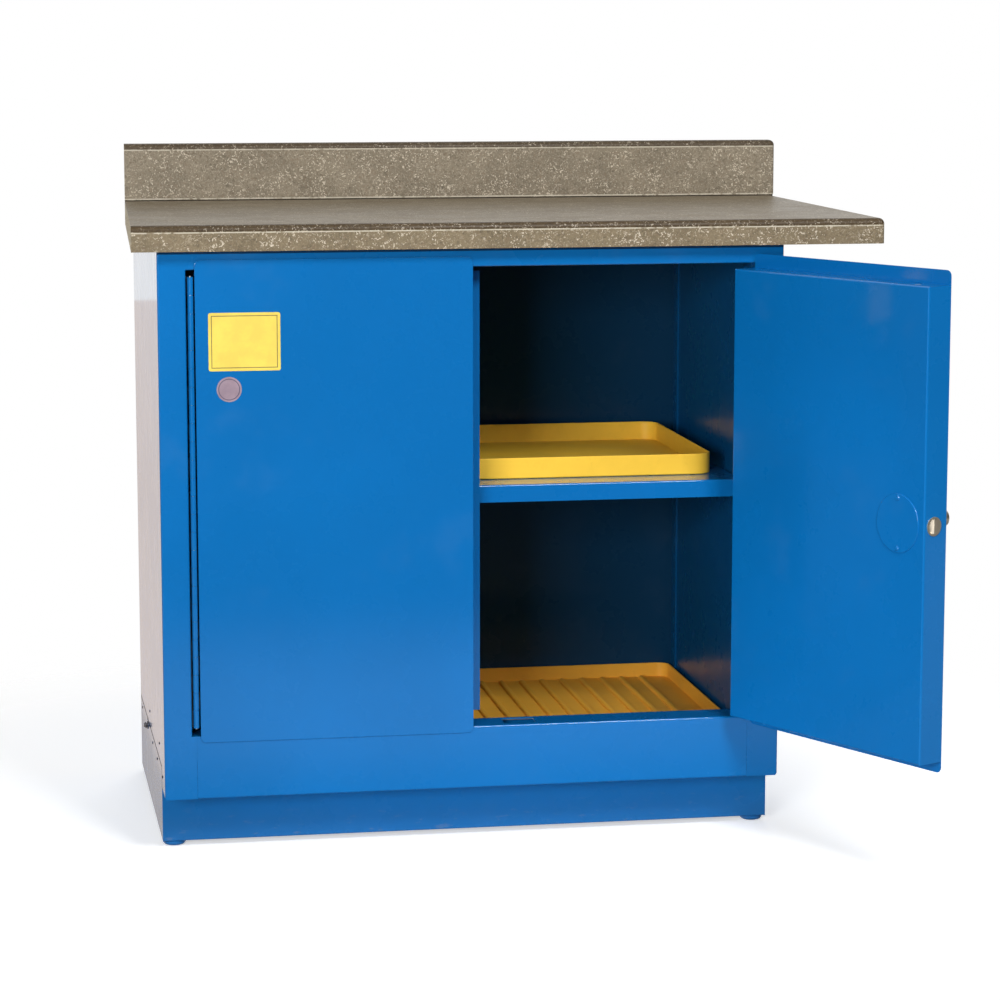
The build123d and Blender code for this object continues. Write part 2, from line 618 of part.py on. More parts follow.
def left_cut(y_low, y_high, z_low, z_high):
    """The waste beyond the slanted left end."""
    slope = (LEFT_FRONT_OVERHANG - LEFT_BACK_OVERHANG) / (SPLASH_FACE + SPLASH_THICKNESS + FRONT_OVERHANG)

    def edge(y):
        return -side - LEFT_FRONT_OVERHANG + slope * (y - deep(-FRONT_OVERHANG))

    waste = make_face(Polyline((edge(y_low - 5), y_low - 5), (edge(y_high + 5), y_high + 5),
                               (-side - 60, y_high + 5), (-side - 60, y_low - 5), close=True))
    return along_z(waste, z_low - 5, z_high + 5)


def wrapped_block(skin, x_high, y_range, z_range):
    """A block with a rounded front top edge, drawn in by the thickness of the skin."""
    block = slab((-side - 50, x_high - skin), (y_range[0] + skin, y_range[1]), (z_range[0], z_range[1] - skin))
    corner = block.edges().filter_by(Axis.Z).sort_by(Axis.Y)[:2].sort_by(Axis.X)[-1]
    block = fillet(corner, 6.0 - skin)
    nose = block.edges().filter_by(Axis.X).group_by(Axis.Z)[-1].sort_by(Axis.Y)[0]
    return fillet(nose, NOSING - skin)


def worktop():
    x_high = side + RIGHT_OVERHANG
    y_range = (deep(-FRONT_OVERHANG), deep(SPLASH_FACE + SPLASH_THICKNESS))
    z_range = (crown, worktop_z)
    waste = left_cut(*y_range, *z_range)
    inner = wrapped_block(LAMINATE, x_high, y_range, z_range) - waste
    outer = wrapped_block(0, x_high, y_range, z_range) - waste
    under_splash = slab((-side - 60, x_high + 1), (deep(SPLASH_FACE), y_range[1] + 1),
                        (worktop_z - LAMINATE, worktop_z + 1))
    pieces["worktop_laminate"] = outer - inner - under_splash
    core_z = worktop_z - LAMINATE - CORE_THICKNESS
    everywhere = (-side - 60, x_high)
    pieces["worktop_core"] = inner & slab(everywhere, y_range, (core_z, worktop_z))
    strips = [slab(everywhere, (y_range[0], deep(40)), (crown, core_z)),
              slab(everywhere, (deep(500), y_range[1]), (crown, core_z)),
              slab((-side - 60, -side + 20), (deep(40), deep(500)), (crown, core_z)),
              slab((x_high - 60, x_high), (deep(40), deep(500)), (crown, core_z))]
    pieces["worktop_battens"] = group([inner & strip for strip in strips])

    y_range = (deep(SPLASH_FACE), deep(SPLASH_FACE + SPLASH_THICKNESS))
    z_range = (worktop_z - LAMINATE, worktop_z + SPLASH_HEIGHT)
    waste = left_cut(*y_range, *z_range)
    inner = wrapped_block(LAMINATE, x_high, y_range, z_range) - waste
    outer = wrapped_block(0, x_high, y_range, z_range) - waste
    reveal = slab((-side - 60, x_high + 1), (y_range[0] - 1, y_range[1] + 1), (z_range[0] - 1, worktop_z + 1.5))
    pieces["splash_core"] = inner
    pieces["splash_laminate"] = outer - inner - reveal


outer_shell()
front_rails()
liners()
plinth()
feet()
side_fixings()
vents()
shelving()
trays()
frame_leaf, door_leaf, hinge_pin = hinge_leaves()
pieces["left_frame_leaf"] = frame_leaf
pieces["right_frame_leaf"] = other_side(frame_leaf)
pieces["hinge_pins"] = group([hinge_pin, other_side(hinge_pin)])
skin_shape, pan_shape = door_skin(), door_pan()
left_door(skin_shape, pan_shape, door_leaf)
right_door(other_side(skin_shape), other_side(pan_shape), other_side(door_leaf))
rod_guides()
latch_works()
door_handle()
worktop()

os.makedirs("parts", exist_ok=True)
for node, shape in pieces.items():
    export_step(shape, f"parts/{node}.step")
print(len(pieces), "nodes")
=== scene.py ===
# %% [markdown]
# # Acid storage cabinet
# A steel cupboard for strong acids stands under a laminate worktop. The left door is shut and the right door
# stands open, so the inside is part of the picture. The CAD model is loaded first and never moved: it is the
# frame that every finish and every small added piece belongs to.

# %% Load the frame
import bmesh
import bpy
import math
from mathutils import Matrix, Vector


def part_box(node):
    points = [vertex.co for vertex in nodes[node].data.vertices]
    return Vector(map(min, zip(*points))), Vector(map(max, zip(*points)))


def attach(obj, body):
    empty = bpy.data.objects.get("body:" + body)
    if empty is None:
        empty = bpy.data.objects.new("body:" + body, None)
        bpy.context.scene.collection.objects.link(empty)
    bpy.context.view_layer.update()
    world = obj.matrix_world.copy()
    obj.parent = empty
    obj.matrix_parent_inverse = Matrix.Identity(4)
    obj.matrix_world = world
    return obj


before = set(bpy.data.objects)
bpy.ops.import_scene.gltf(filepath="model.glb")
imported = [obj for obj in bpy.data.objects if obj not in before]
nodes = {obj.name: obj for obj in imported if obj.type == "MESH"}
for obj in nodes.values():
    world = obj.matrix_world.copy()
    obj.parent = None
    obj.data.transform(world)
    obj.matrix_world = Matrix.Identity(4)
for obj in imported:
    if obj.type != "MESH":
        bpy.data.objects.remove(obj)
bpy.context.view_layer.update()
print("nodes:", len(nodes))

# %% [markdown]
# The camera comes first, because everything else is judged through it. Its place, turn and lens were worked
# out from the straight edges of the cabinet: it stands left of the middle, looks a little to the right and
# slightly down, and has a long lens, which keeps the upright edges nearly parallel.

# %% Camera
EYE = (-0.719, -4.6105, 1.165)
LOOK_DOWN = 8.59
LOOK_RIGHT = 9.87
FOCAL_LENGTH = 113.04
SENSOR_WIDTH = 36.0
scene = bpy.context.scene
lens = bpy.data.cameras.new("photo_lens")
lens.lens = FOCAL_LENGTH
lens.sensor_width = SENSOR_WIDTH
camera = bpy.data.objects.new("camera", lens)
scene.collection.objects.link(camera)
camera.location = EYE
camera.rotation_euler = (math.radians(90 - LOOK_DOWN), 0, math.radians(-LOOK_RIGHT))
scene.camera = camera
print("camera at", EYE, "turned right by", LOOK_RIGHT, "and down by", LOOK_DOWN, "degrees")

# %% [markdown]
# Every finish below is a small graph of nodes. The helpers each add one node and return its output, so a
# finish reads as a few lines. The first ones start a material and say where on the piece we are. All of them
# read Object coordinates, which stay with the piece when it moves.

# %% Starting a finish
def start_finish(name, settings):
    """A new material: its tree, its shader and the place on the piece."""
    material = bpy.data.materials.new(name)
    material.use_nodes = True
    tree = material.node_tree
    shader = tree.nodes["Principled BSDF"]
    for socket, value in settings.items():
        shader.inputs[socket].default_value = value
    place = tree.nodes.new("ShaderNodeTexCoord").outputs["Object"]
    return material, tree, shader, place


def stretched(tree, place, scale):
    """The same place, counted faster or slower along each axis."""
    mapping = tree.nodes.new("ShaderNodeMapping")
    mapping.inputs["Scale"].default_value = scale
    tree.links.new(place, mapping.inputs["Vector"])
    return mapping.outputs["Vector"]


print("start_finish and stretched are ready")

# %% [markdown]
# Nothing real has one even shade. A noise gives soft clouds and random cells give flecks, and a ramp turns
# either one into a mask with clear edges or spreads it between two values.

# %% Noises and masks
NOISE_REACH = (0.3, 0.7)


def noise(tree, place, scale, detail=4.0, roughness=0.5):
    """Soft random clouds: a high scale gives small ones, and detail adds finer ones on top."""
    node = tree.nodes.new("ShaderNodeTexNoise")
    node.inputs["Scale"].default_value = scale
    node.inputs["Detail"].default_value = detail
    node.inputs["Roughness"].default_value = roughness
    tree.links.new(place, node.inputs["Vector"])
    return node.outputs["Fac"]


def chips(tree, place, scale):
    """Random cells, as in a chipped stone: the distance to each middle and a colour for each cell."""
    node = tree.nodes.new("ShaderNodeTexVoronoi")
    node.inputs["Scale"].default_value = scale
    tree.links.new(place, node.inputs["Vector"])
    return node.outputs["Distance"], node.outputs["Color"]


def mask(tree, value, low, high):
    """0 below the low value, 1 above the high one, and smooth between them."""
    node = tree.nodes.new("ShaderNodeMapRange")
    node.interpolation_type = "SMOOTHSTEP"
    node.inputs["From Min"].default_value = low
    node.inputs["From Max"].default_value = high
    tree.links.new(value, node.inputs["Value"])
    return node.outputs["Result"]


def between(tree, value, low, high):
    """A noise, which mostly stays inside NOISE_REACH, spread between two values."""
    node = tree.nodes.new("ShaderNodeMapRange")
    node.inputs["From Min"].default_value = NOISE_REACH[0]
    node.inputs["From Max"].default_value = NOISE_REACH[1]
    node.inputs["To Min"].default_value = low
    node.inputs["To Max"].default_value = high
    tree.links.new(value, node.inputs["Value"])
    return node.outputs["Result"]


print("noise, chips, mask and between are ready")

# %% [markdown]
# Masks are joined with plain sums, and colours are mixed by a mask. A place is split into its X, Y and Z, so
# that a finish can change at a height or behind an edge. A bump gives the fine relief that no mesh needs.

# %% Sums, mixes and bumps
def calc(tree, operation, first, second):
    """One sum on two values, each a plain number or another node's output."""
    node = tree.nodes.new("ShaderNodeMath")
    node.operation = operation
    for socket, value in zip(node.inputs, (first, second)):
        if isinstance(value, (int, float)):
            socket.default_value = value
        else:
            tree.links.new(value, socket)
    return node.outputs["Value"]


def weaker(tree, value, share):
    """A mask, or any other value, at a share of its strength."""
    return calc(tree, "MULTIPLY", value, share)


def both(tree, first, second):
    """Where two masks overlap."""
    return calc(tree, "MULTIPLY", first, second)


def axis_of(tree, place, axis):
    """One of the three numbers of a place or a colour."""
    node = tree.nodes.new("ShaderNodeSeparateXYZ")
    tree.links.new(place, node.inputs["Vector"])
    return node.outputs[axis]


def mixed(tree, amount, first, second, blend="MIX"):
    """Two colours mixed by an amount. Each of the three is a value or another node's output."""
    node = tree.nodes.new("ShaderNodeMix")
    node.data_type = "RGBA"
    node.blend_type = blend
    colour_sockets = [socket for socket in node.inputs if socket.type == "RGBA"]
    for socket, value in zip((node.inputs["Factor"], *colour_sockets), (amount, first, second)):
        if isinstance(value, bpy.types.NodeSocket):
            tree.links.new(value, socket)
        elif isinstance(value, tuple):
            socket.default_value = (*value, 1)
        else:
            socket.default_value = value
    return [socket for socket in node.outputs if socket.type == "RGBA"][0]


def bumped(tree, height, strength, distance, under=None):
    """Small dents and grain that only tilt the light, on top of another bump where one is given."""
    node = tree.nodes.new("ShaderNodeBump")
    node.inputs["Strength"].default_value = strength
    node.inputs["Distance"].default_value = distance
    tree.links.new(height, node.inputs["Height"])
    if under is not None:
        tree.links.new(under, node.inputs["Normal"])
    return node.outputs["Normal"]


print("calc, weaker, both, axis_of, mixed and bumped are ready")

# %% [markdown]
# The last two helpers plug the results into the shader and put a finish on the CAD pieces made of it.

# %% Ending a finish
def finish_with(tree, shader, **links):
    """Plugs the named results into the shader."""
    sockets = {"colour": "Base Color", "roughness": "Roughness", "normal": "Normal"}
    for name, result in links.items():
        tree.links.new(result, shader.inputs[sockets[name]])


def put_on(material, *names):
    """Gives the named CAD pieces this finish alone."""
    for name in names:
        piece = nodes[name]
        piece.data.materials.clear()
        piece.data.materials.append(material)


print("finish_with and put_on are ready")

# %% [markdown]
# The whole cupboard is sprayed with a glossy blue enamel. Sprayed enamel is never quite flat: it has a fine
# orange peel, the sheet under it waves a little, and its shade drifts over a large panel. Handling leaves
# dull smears, and dust settles low down. The clear gloss is a coat over a slightly rougher colour. Painted
# shade can be added in a gap or under the worktop. All blue pieces share this one function, so that their
# pattern is the same and only shade, gloss, dirt and painted shade differ.

# %% Blue enamel
PAINTED_SHADE_BLUE = (0.002, 0.016, 0.045)
HAND_SMEAR = (0.30, 0.40, 0.52)
GREY_DUST = (0.24, 0.26, 0.28)


def enamel(name, colour, dust_height=0.0, gloss=0.9, painted_shade_behind=None, painted_shade_corner=None):
    """Glossy blue paint, with dust below dust_height. Behind a given Y it is painted near black, a painted
    shade in a hinge gap. Above a given Z and in front of a given Y a thin dark line is painted, a painted
    shadow under the worktop."""
    material, tree, shader, place = start_finish(name, {
        "Metallic": 0.0, "Specular IOR Level": 0.1, "Coat Weight": gloss, "Coat Roughness": 0.07})
    drift = noise(tree, place, 1.7, 3.0, 0.5)
    cloud = noise(tree, place, 9.0, 5.0, 0.6)
    darker = tuple(part * 0.9 for part in colour)
    lighter = tuple(min(1.0, part * 1.06) for part in colour)
    shade = mixed(tree, mask(tree, drift, 0.35, 0.65), darker, lighter)
    smear = mask(tree, cloud, 0.56, 0.74)
    shade = mixed(tree, weaker(tree, smear, 0.015), shade, HAND_SMEAR)
    speck = mask(tree, noise(tree, place, 420.0, 2.0, 0.5), 0.74, 0.78)
    shade = mixed(tree, weaker(tree, speck, 0.22), shade, tuple(part * 0.55 for part in colour))
    if dust_height:
        low = mask(tree, axis_of(tree, place, "Z"), dust_height, 0.0)
        scuff = mask(tree, noise(tree, stretched(tree, place, (1.0, 1.0, 3.0)), 38.0, 6.0, 0.65), 0.57, 0.68)
        dusty = calc(tree, "ADD", 0.05, weaker(tree, scuff, 0.22))
        shade = mixed(tree, both(tree, low, dusty), shade, GREY_DUST)
    # Painted shade: behind the given Y, as in a hinge gap, the blue is painted near black.
    if painted_shade_behind is not None:
        gap_shade = mask(tree, axis_of(tree, place, "Y"), painted_shade_behind, painted_shade_behind + 0.001)
        shade = mixed(tree, gap_shade, shade, PAINTED_SHADE_BLUE)
    # Painted shadow: a thin near-black line on the front, right under the worktop.
    if painted_shade_corner is not None:
        corner_z, corner_y = painted_shade_corner
        shade_line = both(tree, mask(tree, axis_of(tree, place, "Z"), corner_z, corner_z + 0.0008),
                     mask(tree, axis_of(tree, place, "Y"), corner_y + 0.0006, corner_y))
        shade = mixed(tree, weaker(tree, shade_line, 0.85), shade, PAINTED_SHADE_BLUE)
    rough = calc(tree, "ADD", between(tree, cloud, 0.24, 0.32), weaker(tree, smear, 0.06))
    waves = bumped(tree, noise(tree, place, 4.5, 2.0, 0.4), 0.08, 0.002)
    peel = bumped(tree, noise(tree, place, 330.0, 2.0, 0.5), 0.02, 0.0002, waves)
    finish_with(tree, shader, colour=shade, roughness=rough, normal=peel)
    return material


print("enamel ready")

# %% [markdown]
# The shell and the outside of the doors have the full gloss. The inside of the doors is duller, and the
# liners deep in the cupboard are duller and painted darker blue, a painted shade for the dim inside. A thin
# painted shadow line runs on the front right under the worktop, and the leaves of the hinges are painted
# near black behind the front of the cupboard, a painted shade in the hinge gap.

# %% Enamel on the blue pieces
BLUE = (0.0020, 0.147, 0.440)
BASE_BLUE = (0.0025, 0.140, 0.420)
# The two darker blues are the cupboard's own blue painted darker, as painted shade for the dim inside and
# back.
INSIDE_SHADED_BLUE = (0.002, 0.074, 0.215)
REAR_SHADED_BLUE = (0.005, 0.042, 0.104)
PAN_GLOSS = 0.45
LINER_GLOSS = 0.05
DUST_HEIGHT = 0.07
SHADE_LINE_HEIGHT = 0.0043
SHADE_LINE_DEPTH = 0.001
GAP_SHADE_DEPTH = 0.0006
front_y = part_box("left_side_panel")[0].y
# A thin painted shadow line runs across the front of the shell, just under the worktop.
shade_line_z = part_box("header_rail")[1].z - SHADE_LINE_HEIGHT
shell_enamel = enamel("shell_blue_enamel", BLUE, painted_shade_corner=(shade_line_z, front_y + SHADE_LINE_DEPTH))
door_enamel = enamel("door_blue_enamel", BLUE)
pan_enamel = enamel("door_inside_blue_enamel", BLUE, gloss=PAN_GLOSS)
base_enamel = enamel("base_blue_enamel", BASE_BLUE, dust_height=DUST_HEIGHT)
inside_shaded_enamel = enamel("inside_shaded_blue_enamel", INSIDE_SHADED_BLUE, gloss=LINER_GLOSS)
rear_shaded_enamel = enamel("rear_shaded_blue_enamel", REAR_SHADED_BLUE, gloss=LINER_GLOSS)
# The hinge leaves get a painted shade behind the front of the cupboard.
hinge_enamel = enamel("hinge_blue_enamel", BLUE, painted_shade_behind=front_y + GAP_SHADE_DEPTH)
put_on(shell_enamel, "left_side_panel", "right_side_panel", "back_panel", "top_panel", "header_rail",
       "bottom_rail", "shelf", "vent_collars", "vent_caps")
put_on(hinge_enamel, "left_frame_leaf", "right_frame_leaf", "left_door_leaf")
put_on(door_enamel, "left_door_skin", "astragal", "right_door_skin", "right_door_leaf")
put_on(pan_enamel, "left_door_pan", "right_door_pan", "latch_cover", "latch_cover_screws")
put_on(base_enamel, "base_front", "base_left", "base_right", "base_back", "bottom_panel",
       "foot_front_left", "foot_front_right", "foot_back_left", "foot_back_right")
put_on(inside_shaded_enamel, "left_liner", "right_liner", "floor_liner", "shelf_standards")
put_on(rear_shaded_enamel, "back_liner", "ceiling_liner")
print("blue enamels: 7")

# %% [markdown]
# The bare metal pieces differ in how they were finished. Rods, guides and clips are zinc plated: greyish, a
# little cloudy, with fine drawn lines. The lever, its rose, the lock and the side bolt are nickel plated and
# polished, so they mirror the room and only show faint rubbing.

# %% Plated metal
def plated(name, colour, rough, drawn):
    """Plated metal: cloudy, with fine lines stretched by drawn and small worn spots."""
    material, tree, shader, place = start_finish(name, {"Metallic": 1.0})
    cloud = noise(tree, place, 30.0, 5.0, 0.6)
    lines = noise(tree, stretched(tree, place, drawn), 60.0, 3.0, 0.55)
    duller = tuple(part * 0.72 for part in colour)
    shade = mixed(tree, mask(tree, cloud, 0.3, 0.7), duller, colour)
    wear = mask(tree, noise(tree, place, 140.0, 4.0, 0.6), 0.6, 0.72)
    shade = mixed(tree, weaker(tree, wear, 0.35), shade, tuple(part * 0.5 for part in colour))
    roughness = calc(tree, "ADD", between(tree, lines, rough * 0.7, rough * 1.3), weaker(tree, wear, 0.12))
    normal = bumped(tree, lines, 0.12, 0.0003)
    finish_with(tree, shader, colour=shade, roughness=roughness, normal=normal)
    return material


zinc = plated("zinc_plated_steel", colour=(0.62, 0.63, 0.64), rough=0.34, drawn=(1.0, 1.0, 14.0))
nickel = plated("polished_nickel", colour=(0.98, 0.87, 0.70), rough=0.36, drawn=(3.0, 3.0, 1.0))
screen_brass = plated("screen_brass", colour=(0.55, 0.42, 0.18), rough=0.32, drawn=(6.0, 6.0, 6.0))
dark_lug = plated("darkened_steel_lug", colour=(0.16, 0.15, 0.16), rough=0.4, drawn=(4.0, 4.0, 4.0))
put_on(zinc, "hinge_pins", "strike_plates", "rod_guides", "latch_cam", "top_rod", "bottom_rod", "shelf_clips",
       "foot_brackets")
put_on(nickel, "side_bolt", "bolt_bezel", "door_handle", "handle_rose", "lock_plug")
put_on(screen_brass, "vent_screens")
put_on(dark_lug, "bonding_screw", "side_rivets")
print("plated metals: 4")

# %% [markdown]
# The worktop and the backsplash are covered with a plastic laminate printed as a speckled stone. Up close
# it is a brown-grey ground with cream, brown and near-black flecks a few millimetres across. Two sizes of
# random cells, pushed about by a noise, give such flecks without any picture.

# %% Helpers for the laminate
def noise_colour(tree, place, scale):
    """Three noises at once, to push a pattern about."""
    node = tree.nodes.new("ShaderNodeTexNoise")
    node.inputs["Scale"].default_value = scale
    tree.links.new(place, node.inputs["Vector"])
    return node.outputs["Color"]


def stone_ground(tree, place, ground):
    """The ground under the flecks: a cloudy shade with a lighter grain and darker patches."""
    cloud = noise(tree, place, 14.0, 6.0, 0.65)
    patch = noise(tree, place, 55.0, 5.0, 0.7)
    grain = noise(tree, place, 420.0, 4.0, 0.7)
    darker = tuple(part * 0.88 for part in ground)
    lighter = tuple(part * 1.14 for part in ground)
    colour = mixed(tree, mask(tree, cloud, 0.36, 0.64), darker, lighter)
    light_grain = weaker(tree, mask(tree, grain, 0.46, 0.62), 0.8)
    colour = mixed(tree, light_grain, colour, tuple(part * 1.45 for part in ground))
    dark_patch = weaker(tree, mask(tree, patch, 0.54, 0.70), 0.30)
    return mixed(tree, dark_patch, colour, tuple(part * 0.52 for part in ground))


print("laminate helpers ready")

# %% [markdown]
# Brown and dark flecks come straight from the cells, a few of each kind picked by the cell's own random
# colour. The cream ones are denser in some places than in others. Along the front the laminate is rolled
# over a rounded lip, which is painted darker with fewer cream flecks, a painted shade, and a worn line of
# bare cream runs under it.

# %% Speckled laminate
DARK_FLECK = (0.085, 0.066, 0.046)
BROWN_FLECK = (0.19, 0.130, 0.085)
CREAM_FLECK = (0.66, 0.58, 0.46)
WORN_EDGE = (0.60, 0.55, 0.44)
LIP_PAINTED_SHADE = (0.34, 0.29, 0.23)


def speckled(name, ground, lip_z, lip_y, lines):
    """Printed stone laminate. Above lip_z and in front of lip_y the rolled lip is painted darker, a painted
    shade. Each worn line has a height and a half width."""
    material, tree, shader, place = start_finish(name, {"Specular IOR Level": 0.18})
    warped = mixed(tree, 0.018, place, noise_colour(tree, place, 110.0), "ADD")
    near, cell = chips(tree, warped, 370.0)
    wide_near, wide_cell = chips(tree, warped, 240.0)
    pick = axis_of(tree, cell, "X")
    wide_pick = axis_of(tree, wide_cell, "Y")
    colour = stone_ground(tree, place, ground)
    dark = both(tree, mask(tree, wide_pick, 0.66, 0.72), mask(tree, wide_near, 0.60, 0.30))
    colour = mixed(tree, weaker(tree, dark, 0.42), colour, DARK_FLECK)
    brown = both(tree, mask(tree, pick, 0.26, 0.20), mask(tree, near, 0.60, 0.35))
    colour = mixed(tree, weaker(tree, brown, 0.45), colour, BROWN_FLECK)
    height = axis_of(tree, place, "Z")
    # Painted shade: the rolled lip is darkened and gets fewer cream flecks.
    lip = both(tree, mask(tree, height, lip_z, lip_z + 0.0006),
               mask(tree, axis_of(tree, place, "Y"), lip_y + 0.0006, lip_y))
    colour = mixed(tree, lip, colour, LIP_PAINTED_SHADE, "MULTIPLY")
    cluster = mask(tree, noise(tree, place, 40.0, 3.0, 0.5), 0.42, 0.58)
    density = calc(tree, "ADD", 0.30, weaker(tree, cluster, 0.70))
    off_lip = calc(tree, "SUBTRACT", 1.0, weaker(tree, lip, 0.45))
    cream = both(tree, mask(tree, pick, 0.66, 0.70), mask(tree, near, 0.58, 0.30))
    cream = both(tree, both(tree, cream, density), off_lip)
    colour = mixed(tree, weaker(tree, cream, 0.80), colour, CREAM_FLECK)
    for line_z, half_width in lines:
        line = both(tree, mask(tree, height, line_z - half_width, line_z - half_width * 0.5),
                    mask(tree, height, line_z + half_width, line_z + half_width * 0.5))
        worn = mask(tree, noise(tree, place, 90.0, 3.0, 0.6), 0.30, 0.50)
        colour = mixed(tree, weaker(tree, both(tree, line, worn), 0.75), colour, WORN_EDGE)
    roughness = between(tree, noise(tree, place, 12.0, 4.0, 0.6), 0.34, 0.44)
    normal = bumped(tree, noise(tree, place, 500.0, 3.0, 0.6), 0.05, 0.0003)
    finish_with(tree, shader, colour=colour, roughness=roughness, normal=normal)
    return material


SPLASH_STONE = (0.210, 0.177, 0.128)
# The top's ground is darker and warmer than the splash's, though both are one laminate: painted shade set
# against the stronger light and cool sky sheen on the upward face.
TOP_STONE_WITH_PAINTED_SHADE = (0.184, 0.146, 0.092)
ROLLED_LIP = 0.0092
LIP_DEPTH = 0.0088
LINE_HALF = 0.0011
TOP_LINE_DROP = 0.0009
SPLASH_LIP_RISE = 0.0004
SPLASH_LINE_DROP = 0.0006
FOOT_LINE_HALF = 0.0013
FOOT_LINE_RISE = 0.0014
top_low, top_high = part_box("worktop_laminate")
splash_low, splash_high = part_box("splash_laminate")
top_lip_z = top_high.z - ROLLED_LIP
splash_lip_z = splash_high.z - ROLLED_LIP
worktop_finish = speckled("worktop_stone_laminate", TOP_STONE_WITH_PAINTED_SHADE, top_lip_z, top_low.y + LIP_DEPTH,
                          [(top_lip_z - TOP_LINE_DROP, LINE_HALF)])
splash_finish = speckled("splash_stone_laminate", SPLASH_STONE, splash_lip_z + SPLASH_LIP_RISE,
                         splash_high.y, [(splash_lip_z - SPLASH_LINE_DROP, LINE_HALF),
                                         (splash_low.z + FOOT_LINE_RISE, FOOT_LINE_HALF)])
put_on(worktop_finish, "worktop_laminate")
put_on(splash_finish, "splash_laminate")
print("laminate on 2 pieces")

# %% [markdown]
# Under the laminate is particle board, which shows at the left end, where the worktop was cut roughly to fit.
# It is pressed from wood chips, so it is a pale brown with longer light and dark slivers lying flat.

# %% Particle board
PRESSED_WOOD = (0.72, 0.60, 0.41)
PALE_WOOD = (0.88, 0.78, 0.58)
LIGHT_SLIVER = (0.92, 0.85, 0.68)
DARK_SLIVER = (0.52, 0.40, 0.26)
GAP_SHADOW_BROWN = (0.030, 0.022, 0.015)


def pressed_chips(name, gap_shadow_z=None):
    """Bare particle board. Below a given height it is painted near black, a painted shadow in the gap where
    it stands in its joint.
    """
    material, tree, shader, place = start_finish(name, {"Specular IOR Level": 0.25})
    flat = stretched(tree, place, (1.0, 1.0, 3.2))
    near, cell = chips(tree, flat, 260.0)
    pick = axis_of(tree, cell, "X")
    cloud = mask(tree, noise(tree, flat, 60.0, 5.0, 0.6), 0.35, 0.65)
    colour = mixed(tree, cloud, PRESSED_WOOD, PALE_WOOD)
    colour = mixed(tree, mask(tree, pick, 0.72, 0.80), colour, LIGHT_SLIVER)
    colour = mixed(tree, mask(tree, pick, 0.22, 0.16), colour, DARK_SLIVER)
    # Painted shadow: the foot of the board, in the gap under the splash laminate, is painted near black.
    if gap_shadow_z is not None:
        gap_shadow = mask(tree, axis_of(tree, place, "Z"), gap_shadow_z + 0.0004, gap_shadow_z)
        colour = mixed(tree, gap_shadow, colour, GAP_SHADOW_BROWN)
    roughness = between(tree, noise(tree, place, 80.0), 0.75, 0.92)
    height = calc(tree, "ADD", near, noise(tree, place, 300.0, 4.0, 0.7))
    normal = bumped(tree, height, 0.35, 0.0006)
    finish_with(tree, shader, colour=colour, roughness=roughness, normal=normal)
    return material


particle_board = pressed_chips("particle_board")
put_on(particle_board, "worktop_core", "worktop_battens")
put_on(pressed_chips("particle_board_with_gap_shadow", splash_low.z), "splash_core")
print("particle board on 3 pieces")

# %% [markdown]
# The shelf tray and the floor tray are moulded in yellow polyethylene, a waxy plastic with a soft sheen. In
# use it gets stained and scratched along the floor, so the shade and the dullness both vary.

# %% Yellow tray plastic
def tray_plastic(name, colour, stain):
    """Waxy yellow plastic with stains in fine clouds and scratches along the floor."""
    material, tree, shader, place = start_finish(name, {"Specular IOR Level": 0.25, "IOR": 1.5})
    cloud = noise(tree, place, 6.0, 5.0, 0.6)
    fine = noise(tree, place, 60.0, 4.0, 0.6)
    shade = mixed(tree, mask(tree, cloud, 0.35, 0.65), tuple(part * 0.88 for part in colour), colour)
    shade = mixed(tree, weaker(tree, mask(tree, fine, 0.55, 0.72), 0.25), shade, stain)
    scratches = mask(tree, noise(tree, stretched(tree, place, (1.0, 12.0, 1.0)), 45.0, 3.0, 0.5), 0.62, 0.70)
    rough = calc(tree, "ADD", between(tree, cloud, 0.36, 0.48), weaker(tree, scratches, 0.15))
    normal = bumped(tree, fine, 0.06, 0.0006)
    normal = bumped(tree, scratches, 0.04, 0.0003, normal)
    finish_with(tree, shader, colour=shade, roughness=rough, normal=normal)
    return material


floor_tray_plastic = tray_plastic("floor_tray_polyethylene", colour=(0.98, 0.50, 0.055),
                                  stain=(0.78, 0.36, 0.04))
shelf_tray_plastic = tray_plastic("shelf_tray_polyethylene", colour=(0.97, 0.59, 0.055),
                                  stain=(0.72, 0.42, 0.03))
put_on(floor_tray_plastic, "sump_tray")
put_on(shelf_tray_plastic, "shelf_tray")
print("tray plastics: 2")

# %% [markdown]
# Two blank films are stuck on the left door: a yellow plate with a thin dark line just inside its edge, and
# a small round sticker. A line at a fixed distance from the edge is worked out from how far each point lies
# from the middle of the plate.

# %% Blank films
LINE_CORE = 0.0004
LINE_EDGE = 0.0008
PLATE_LINE_INSET = 0.0045
RING_RADIUS = 0.0145


def box_distance(tree, place, middle, half):
    """How far outside (above 0) or inside (below 0) a point is of a rectangle in X and Z."""
    parts = []
    for axis, centre, size in zip(("X", "Z"), middle, half):
        offset = calc(tree, "ABSOLUTE", calc(tree, "SUBTRACT", axis_of(tree, place, axis), centre), 0.0)
        parts.append(calc(tree, "SUBTRACT", offset, size))
    return calc(tree, "MAXIMUM", *parts)


def film(name, ground, line, line_place, aged):
    """A printed film of two shades, new and aged. The line runs where line_place gives 0."""
    material, tree, shader, place = start_finish(name, {"Coat Weight": 0.4, "Coat Roughness": 0.1})
    cloud = noise(tree, place, 40.0, 4.0, 0.6)
    shade = mixed(tree, mask(tree, cloud, 0.35, 0.68), aged, ground)
    distance = line_place(tree, place)
    near_line = both(tree, mask(tree, distance, -LINE_EDGE, -LINE_CORE),
                     mask(tree, distance, LINE_EDGE, LINE_CORE))
    shade = mixed(tree, near_line, shade, line)
    normal = bumped(tree, noise(tree, place, 90.0, 3.0, 0.5), 0.05, 0.0004)
    finish_with(tree, shader, colour=shade, roughness=between(tree, cloud, 0.28, 0.42), normal=normal)
    return material


